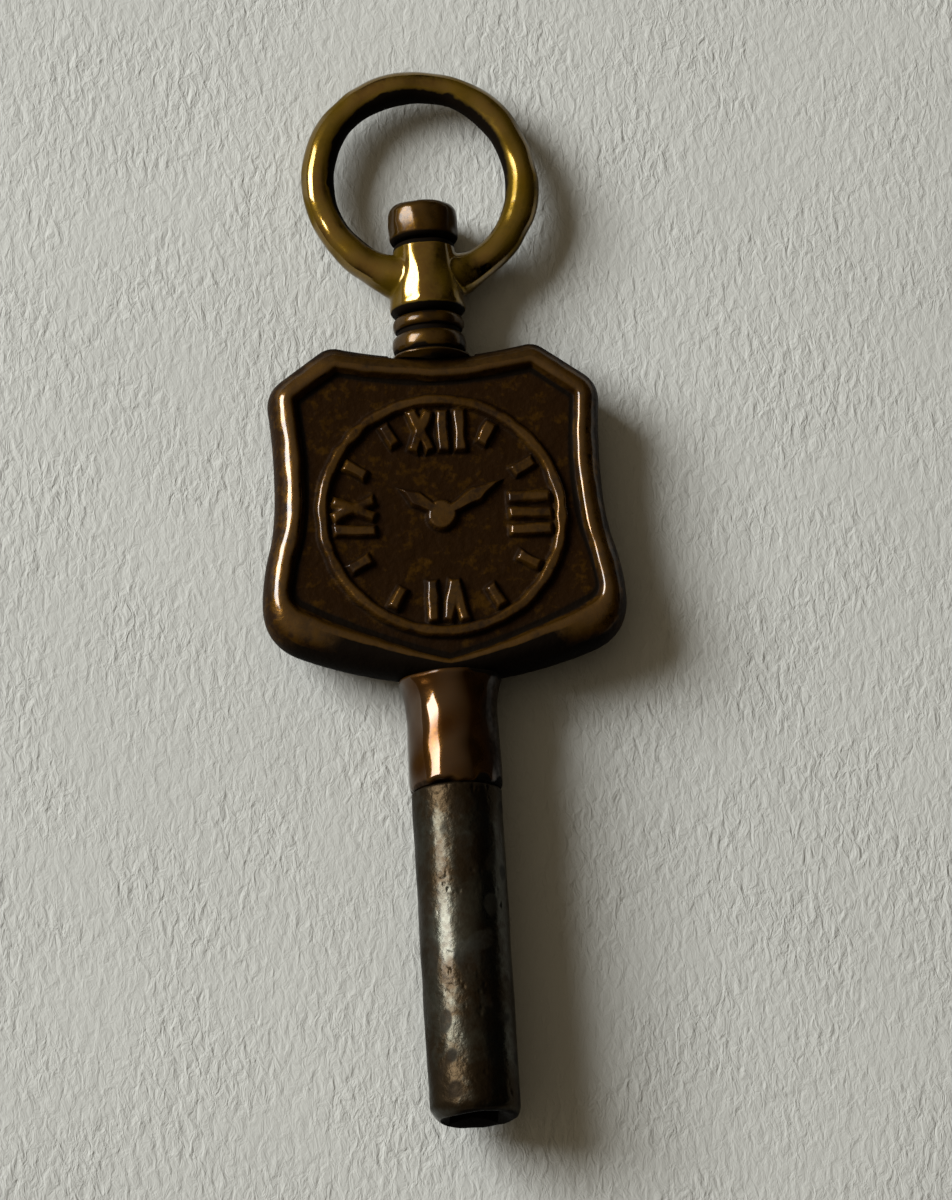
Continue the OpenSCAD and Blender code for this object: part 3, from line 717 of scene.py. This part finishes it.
class WATCHKEY_OT_neck(bpy.types.Operator):
    """Adds the turned neck, with its flared foot and two beads"""

    bl_idname = "watch_key.add_neck"
    bl_label = "Neck"

    def execute(self, context):
        sizes, finish, wear = settings(context)
        y, h, foot = places(sizes)["neck"], mm(sizes.neck_h), mm(sizes.neck_foot_d) / 2
        lower_h = GROOVE_AT - GROOVE_W / 2 - UNDER_AT
        upper_y = GROOVE_AT + GROOVE_W / 2
        upper_h = h - upper_y
        hole = h - PIN_DRIVE - PIN_HOLE_SPARE
        a = np.radians(np.linspace(0, 90, 12))
        profile = np.concatenate([
            [[0, -TENON_L], [TENON_R, -TENON_L], [TENON_R, 0], [foot, 0]],
            np.stack([foot + (UNDER_R - foot) * np.sin(a),
                      NECK_FOOT_T + (UNDER_AT - NECK_FOOT_T) * (1 - np.cos(a))], axis=1),
            arc((UNDER_R, UNDER_AT + lower_h / 2), LOWER_R - UNDER_R, lower_h / 2, -80, 80, 14),
            refine([[GROOVE_R, GROOVE_AT - GROOVE_W / 2], [GROOVE_R, upper_y]], 0.05),
            arc((GROOVE_R, upper_y + upper_h / 2), UPPER_R - GROOVE_R, upper_h / 2, -80, 80, 14),
            [[GROOVE_R, h], [PIN_HOLE_R, h], [PIN_HOLE_R, hole], [0, hole - PIN_HOLE_R / POINT_SLOPE]]])

        def shape(rr, hh, at):
            live = step(rr, 0.9, 1.05)
            on_foot = live * (1 - step(hh, 0.05, 0.3))
            return rr + live * wear * layered(at, NECK_DENTS) + on_foot * layered(at, NECK_FOOT_EDGE), hh

        rows = lathe(profile, AROUND, y, shape)
        mesh = skin("beaded_neck", rows)
        at = np.concatenate(rows)
        r = np.hypot(at[:, 0], at[:, 2])
        rubbed = 0.1 + 0.4 * step(r, 1.16, 1.3) + 0.15 * mottle(at, 1.2, 44)
        # Dirt and painted shade in the grooves and in the undercut above the foot, and dirt in spots
        grime_and_shade = 1.3 * (1 - step(r, 1.14, 1.24)) + 1.2 * np.exp(-((at[:, 1] - y - 0.27) / 0.09) ** 2)
        grime_and_shade += 0.7 * step(mottle(at, 0.9, 45), 0.2, 1.2)
        # Lathe-turned brass with a brown patina: the beads' crests catch the light, the grooves are painted
        # black with shade and dirt
        brass = aged_metal(
            "turned_brass_brown_patina", finish.neck_brass, finish.neck_patina, finish.dirt_and_shade,
            **TURNED_BRASS)
        finish_piece("beaded_neck", mesh, "key", "neck", brass, rubbed, grime_and_shade)
        return {"FINISHED"}


# The button: the rounding of its top and base, its barrel's long radius and angles, and its wear
BUTTON_TOP_ROUND, BUTTON_BASE_ROUND = 0.36, 0.22
BARREL_R, BARREL_START, BARREL_STOP = 3.2, -7.5, 4.5
BUTTON_DENTS = ((0.014, 1.6, 51, 1), (0.006, 0.6, 52, 1))
BUTTON_TOP = ((0.01, 1.1, 53, 1),)


class WATCHKEY_OT_pin(bpy.types.Operator):
    """Adds the swivel pin, with its button head"""

    bl_idname = "watch_key.add_pin"
    bl_label = "Swivel pin"

    def execute(self, context):
        sizes, finish, wear = settings(context)
        y, r, h = places(sizes)["button"], mm(sizes.button_d) / 2, mm(sizes.button_h)
        shank, drop = mm(sizes.pin_d) / 2, mm(sizes.collar_l) + 2 * END_PLAY + PIN_DRIVE
        top, base = BUTTON_TOP_ROUND, BUTTON_BASE_ROUND
        profile = np.concatenate([
            [[0, -drop], [shank, -drop]], refine([[shank, -drop], [shank, 0]], 0.4)[1:],
            refine([[shank, 0], [r - base, 0]], 0.1)[1:],
            arc((r - base, base), base, base, -90, 0, 10)[1:],
            arc((0.0, h / 2), r, BARREL_R, BARREL_START, BARREL_STOP, 12)[1:],
            arc((r - top, h - top), top, top, 0, 90, 14)[1:],
            refine([[r - top, h], [0, h]], 0.08)[1:]])

        def shape(rr, hh, at):
            live = step(hh, 0.0, 0.15) * step(rr, 0.05, 0.4)
            return (rr + live * wear * layered(at, BUTTON_DENTS),
                    hh + live * wear * layered(at, BUTTON_TOP) * (rr < r - 0.1))

        rows = lathe(profile, AROUND, y, shape)
        mesh = skin("button_pin", rows)
        at = np.concatenate(rows)
        hh = at[:, 1] - y
        rubbed = 0.25 + 0.35 * step(hh, h * 0.5, h) + 0.2 * mottle(at, 1.1, 54)
        # Painted shade on the underside of the button's base
        grime_and_shade = 1.3 * (1 - step(hh, 0.06, 0.24))
        # Turned brass, brown with age: a dull glow on the button's side, rubbed on its top
        brass = aged_metal(
            "turned_brass_button", finish.neck_brass, finish.neck_patina, finish.dirt_and_shade, **TURNED_BRASS)
        finish_piece("button_pin", mesh, "key", "swivel_pin", brass, rubbed, grime_and_shade)
        return {"FINISHED"}


# The bow: its wire's flare at the collar, its edges, points round each form, how finely they are fused, and
# its wear
FLARE_R, FLARE_START, FLARE_STOP, WIRE_THIN = 0.92, 34, 8, 0.05
COLLAR_CHAMFER, BORE_OVERRUN = 0.06, 0.5
RING_AROUND, WIRE_AROUND, COLLAR_AROUND = 220, 48, 96
FUSE_SIZE = 0.045
BOW_DENTS = ((0.03, 3.2, 61, 1), (0.009, 1.1, 62, 1))
COLLAR_FACETS = ((0.011, 0.75, 63, 0.55),)


class WATCHKEY_OT_bow(bpy.types.Operator):
    """Adds the ring bow, with the collar that turns on the pin"""

    bl_idname = "watch_key.add_bow"
    bl_label = "Bow"

    def blank(self, context, sizes, where):
        """The ring and the collar, fused smoothly and drilled, as a mesh."""
        ring_r, wire_r, l = mm(sizes.ring_d) / 2, mm(sizes.wire_d) / 2, mm(sizes.collar_l)
        foot, top = mm(sizes.collar_foot_d) / 2, mm(sizes.collar_top_d) / 2
        turn = turns(WIRE_AROUND)
        rows = []
        for a in turns(RING_AROUND):
            off = math.degrees(min(a, 2 * math.pi - a))
            r = wire_r * (1 - WIRE_THIN * float(step(off, 90, 180)))
            r += (FLARE_R - r) * float(1 - step(off, FLARE_STOP, FLARE_START))
            out = ring_r + r * np.cos(turn)
            rows.append(np.stack([out * math.sin(a), where["ring"] - out * math.cos(a), r * np.sin(turn)], 1))
        ring = skin("ring", rows, loop=True)
        profile = np.concatenate([
            [[0, 0]], arc((foot - COLLAR_ROUND, COLLAR_ROUND), COLLAR_ROUND, COLLAR_ROUND, -90, 0, 8),
            refine([[foot, COLLAR_ROUND], [top, l - COLLAR_CHAMFER]], 0.1)[1:],
            [[top - COLLAR_CHAMFER, l], [0, l]]])
        collar = skin("collar", lathe(profile, COLLAR_AROUND, where["collar"]))
        low, high = -BORE_OVERRUN, l + BORE_OVERRUN
        hole = [[0, low], [COLLAR_BORE_R, low], [COLLAR_BORE_R, high], [0, high]]
        drill = skin("drill", lathe(hole, COLLAR_AROUND, where["collar"]))
        solid = bpy.data.objects.new("bow_blank", face_out(ring, [ring, collar]))
        tool = bpy.data.objects.new("bow_drill", face_out(drill, [drill]))
        for each in (solid, tool):
            context.collection.objects.link(each)
        fuse = solid.modifiers.new("fuse", "REMESH")
        fuse.mode, fuse.voxel_size = "VOXEL", FUSE_SIZE * MM
        ease = solid.modifiers.new("ease", "SMOOTH")
        ease.factor, ease.iterations = 0.5, 8
        bore = solid.modifiers.new("bore", "BOOLEAN")
        bore.operation, bore.solver, bore.object = "DIFFERENCE", "MANIFOLD", tool
        made = bpy.data.meshes.new_from_object(solid.evaluated_get(context.evaluated_depsgraph_get()))
        for each in (solid, tool):
            bpy.data.objects.remove(each)
        made.name = "ring_bow"
        return made

    def execute(self, context):
        sizes, finish, wear = settings(context)
        where = places(sizes)
        l = mm(sizes.collar_l)
        made = self.blank(context, sizes, where)
        at, normal = (np.empty(len(made.vertices) * 3) for _ in range(2))
        made.vertices.foreach_get("co", at)
        made.vertices.foreach_get("normal", normal)
        at, normal = at.reshape(-1, 3) / MM, normal.reshape(-1, 3)
        radius = np.hypot(at[:, 0], at[:, 2])
        inside = (radius < COLLAR_BORE_R + 0.02) & (at[:, 1] < where["collar"] + l + 0.02)
        hh = at[:, 1] - where["collar"]
        on_collar = step(1.7 - radius, 0, 0.4) * (1 - step(hh, l, l + 0.6))
        dents = layered(at, BOW_DENTS) * (1 - 0.8 * on_collar)
        dents += layered(at, COLLAR_FACETS) * on_collar
        at += normal * (wear * dents * ~inside)[:, None]
        made.vertices.foreach_set("co", (at * MM).ravel())
        made.update()
        # Rubbed on the faces and the collar, less so inside the ring, and darker and duller on its right side
        # as a painted shade
        out = np.linalg.norm((at - [0, where["ring"], 0]) * [1, 1, 0], axis=1) - mm(sizes.ring_d) / 2
        face = np.maximum(step(np.abs(at[:, 2]), 0.1, 0.45), on_collar)
        rubbed = 0.14 + 0.4 * face + 0.2 * mottle(at, 1.7, 64) - 0.2 * step(-out, 0.2, 0.6)
        rubbed -= 0.25 * step(at[:, 0], 2.3, 3.4)
        # Dirt and painted shade under the collar and in its bore, painted shade in a strip inside the ring
        # that is widest at the top left, and dirt in spots
        bearing = np.arctan2(at[:, 0], at[:, 1] - where["ring"]) + math.radians(30)
        edge = 0.42 * (1 - (0.5 + 0.5 * np.cos(bearing)))
        shaded_band = step(-out - edge, -0.06, 0.34) * (hh > l - 0.2)
        grime_and_shade = 1.3 * (1 - step(hh, 0.14, 0.36)) + 1.3 * inside + 1.2 * shaded_band
        grime_and_shade += 0.4 * step(mottle(at, 0.9, 65), 1.2, 2.2)
        # Hand-filed yellow brass: olive with age, bright where fingers rub it, with soft file facets
        brass = aged_metal(
            "filed_yellow_brass", finish.bow_brass, finish.bow_tarnish, finish.dirt_and_shade,
            shine=(0.11, 0.22), film=1.0, bare=0.5, patch=1.8, grain=0.18, bump=0.005)
        finish_piece("ring_bow", made, "bow", "bow", brass, rubbed, grime_and_shade)
        return {"FINISHED"}


# The paper: its corners in metres, its gap under the key, its felt mark, and its pressed and dim patches
PAPER_CORNERS = ((-3.0, -3.0), (3.0, -3.0), (3.0, 3.0), (-3.0, 3.0))
PAPER_GAP = 0.02
FELT_SIZE, FELT_SLANT, FELT_STRETCH, FELT_DEPTH, FELT_LEAST = 0.3, 24, 0.5, 0.13, 0.5
PRESS_SIZE, CLOUD_SIZE, PAPER_DIM = 3.5, 9.0, 0.94

# The lamp: the point it faces, its direction from there, its distance and size in metres, and its watts
LAMP_AIM, LAMP_SIDE = (0, 0.02, 0), (-0.71, 0.31, 0.5)
LAMP_AWAY, LAMP_W, LAMP_H, LAMP_POWER = 0.6, 0.34, 0.28, 5.6

# The room: its bright side, where its glow starts, how strong it gets, and its tone
ROOM_SIDE, ROOM_START, ROOM_GLOW, ROOM_TONE = (-0.6, 0.2, 0.77), 0.2, 0.4, "#ffe7c2"

# The camera: its tilt about X and Y and its roll in degrees, its distance from the pipe's mouth in
# millimetres, its focal length, the image's height and the height at which the mouth lies in pixels
CAM_TILT, CAM_LEAN, CAM_ROLL, CAM_DIST = 16.0, 6.6, 3.5, 250.0
CAM_FOCAL, IMAGE_H, CAM_MOUTH_PX = 7204.0, 1200, 1119.5


class WATCHKEY_OT_stage(bpy.types.Operator):
    """Adds the paper, the lamp, the world and the camera"""

    bl_idname = "watch_key.add_stage"
    bl_label = "Stage"

    def execute(self, context):
        self.lay_paper(context)
        self.light(context)
        self.aim_camera(context)
        context.scene.view_settings.view_transform = "Standard"
        return {"FINISHED"}

    def lay_paper(self, context):
        """The key rests on the ferrule's rim and on the collar's foot, so the paper leans a little."""
        sizes, finish, _ = settings(context)
        where = places(sizes)
        rim, foot, gap = sizes.ferrule_rim_d / 2, sizes.collar_foot_d / 2, PAPER_GAP * MM
        slope = (rim - foot - gap) / ((where["collar"] + COLLAR_ROUND - where["seat"]) * MM)
        mesh = bpy.data.meshes.new("paper_floor")
        mesh.from_pydata([(x, y, slope * (y - where["seat"] * MM) - rim - gap) for x, y in PAPER_CORNERS],
                         [], [(0, 1, 2, 3)])
        floor = bpy.data.objects.new("paper_floor", mesh)
        context.collection.objects.link(floor)
        # Uncoated pale paper: matt, with a felt mark pressed unevenly into it that the light rakes across
        paper = bpy.data.materials.new("uncoated_pale_paper")
        tree = emptied(paper)
        spot = node(tree, "TexCoord").outputs["Object"]
        slant = node(tree, "Mapping", {
            "Vector": spot, "Rotation": (0, 0, math.radians(FELT_SLANT)), "Scale": (1.0, FELT_STRETCH, 1.0)})
        felt = node(tree, "TexNoise", {
            "Vector": slant, "Scale": pitch(FELT_SIZE), "Detail": 4.0, "Roughness": 0.58, "Distortion": 0.5})
        press = node(tree, "TexNoise", {"Vector": spot, "Scale": pitch(PRESS_SIZE), "Detail": 2.0})
        depth = node(tree, "MapRange", {
            "Value": press, "From Min": 0.36, "From Max": 0.64, "To Min": FELT_LEAST, "To Max": 1.0})
        cloud = node(tree, "TexNoise", {"Vector": spot, "Scale": pitch(CLOUD_SIZE), "Detail": 3.0})
        shade = node(tree, "MapRange", {"Value": cloud, "From Min": 0.3, "From Max": 0.7})
        dim = [c * PAPER_DIM for c in finish.paper]
        colour = node(tree, "Mix", {FACTOR: shade, COLOUR_A: rgba(dim), COLOUR_B: rgba(finish.paper)},
                      data_type="RGBA").outputs[2]
        bump = node(tree, "Bump", {"Height": felt, "Distance": FELT_DEPTH * MM, "Strength": depth})
        shader = node(tree, "BsdfPrincipled", {"Base Color": colour, "Roughness": 0.9, "Normal": bump})
        node(tree, "OutputMaterial", {"Surface": shader})
        mesh.materials.append(paper)

    def light(self, context):
        """A window's lamp, in a room that is lit on the window's side and from above, and dark elsewhere."""
        pane = bpy.data.lights.new("window_lamp", "AREA")
        pane.shape, pane.size, pane.size_y, pane.energy = "RECTANGLE", LAMP_W, LAMP_H, LAMP_POWER
        lamp = bpy.data.objects.new("window_lamp", pane)
        side = Vector(LAMP_SIDE)
        lamp.location = Vector(LAMP_AIM) + side.normalized() * LAMP_AWAY
        lamp.rotation_euler = side.to_track_quat("Z", "Y").to_euler()
        context.collection.objects.link(lamp)
        world = bpy.data.worlds.new("dim_room")
        context.scene.world = world
        tree = emptied(world)
        way = node(tree, "TexCoord").outputs["Generated"]
        rise = node(tree, "VectorMath", {0: way, 1: ROOM_SIDE}, operation="DOT_PRODUCT").outputs["Value"]
        glow = node(tree, "MapRange", {"Value": rise, "From Min": ROOM_START, "To Max": ROOM_GLOW})
        room = node(tree, "Background", {"Color": rgba(linear(ROOM_TONE)), "Strength": glow})
        node(tree, "OutputWorld", {"Surface": room})

    def aim_camera(self, context):
        """A camera above the key, tilted towards the pipe's mouth."""
        ahead = Vector((-math.tan(math.radians(CAM_LEAN)), -math.tan(math.radians(CAM_TILT)), 1)).normalized()
        up = (Vector((0, 1, 0)) - ahead * ahead.y).normalized()
        right = up.cross(ahead)
        roll = math.radians(CAM_ROLL)
        up, right = (up * math.cos(roll) + right * math.sin(roll),
                     right * math.cos(roll) - up * math.sin(roll))
        drop = -(CAM_MOUTH_PX - IMAGE_H / 2) / CAM_FOCAL
        centre = (up * drop - ahead) * -CAM_DIST * MM
        camera = bpy.data.objects.new("camera", bpy.data.cameras.new("camera"))
        camera.matrix_world = Matrix.Translation(centre) @ Matrix((right, up, ahead)).transposed().to_4x4()
        camera.data.sensor_fit = "VERTICAL"
        camera.data.sensor_height = 24.0
        camera.data.lens = CAM_FOCAL * camera.data.sensor_height / IMAGE_H
        camera.data.clip_start = 0.01
        context.collection.objects.link(camera)
        context.scene.camera = camera


PIECES = (WATCHKEY_OT_pipe, WATCHKEY_OT_ferrule, WATCHKEY_OT_shield, WATCHKEY_OT_neck, WATCHKEY_OT_pin,
          WATCHKEY_OT_bow, WATCHKEY_OT_stage)


class WATCHKEY_PT_panel(bpy.types.Panel):
    """Lists the key's pieces and their settings"""

    bl_idname = "WATCHKEY_PT_panel"
    bl_label = "Watch Key"
    bl_space_type = "VIEW_3D"
    bl_region_type = "UI"
    bl_category = "Watch Key"

    def draw(self, context):
        for piece in PIECES:
            self.layout.operator(piece.bl_idname)
        for group in (context.scene.watch_key_sizes, context.scene.watch_key_finish):
            for key in group.__annotations__:
                self.layout.prop(group, key)


CLASSES = (WatchKeySizes, WatchKeyFinish, *PIECES, WATCHKEY_PT_panel)


def register():
    for made in CLASSES:
        bpy.utils.register_class(made)
    bpy.types.Scene.watch_key_sizes = PointerProperty(type=WatchKeySizes)
    bpy.types.Scene.watch_key_finish = PointerProperty(type=WatchKeyFinish)


def unregister():
    del bpy.types.Scene.watch_key_finish
    del bpy.types.Scene.watch_key_sizes
    for made in reversed(CLASSES):
        bpy.utils.unregister_class(made)


def main():
    register()
    bpy.ops.watch_key.add_pipe()
    bpy.ops.watch_key.add_ferrule()
    bpy.ops.watch_key.add_shield()
    bpy.ops.watch_key.add_neck()
    bpy.ops.watch_key.add_pin()
    bpy.ops.watch_key.add_bow()
    bpy.ops.watch_key.add_stage()


if __name__ == "__main__":
    main()
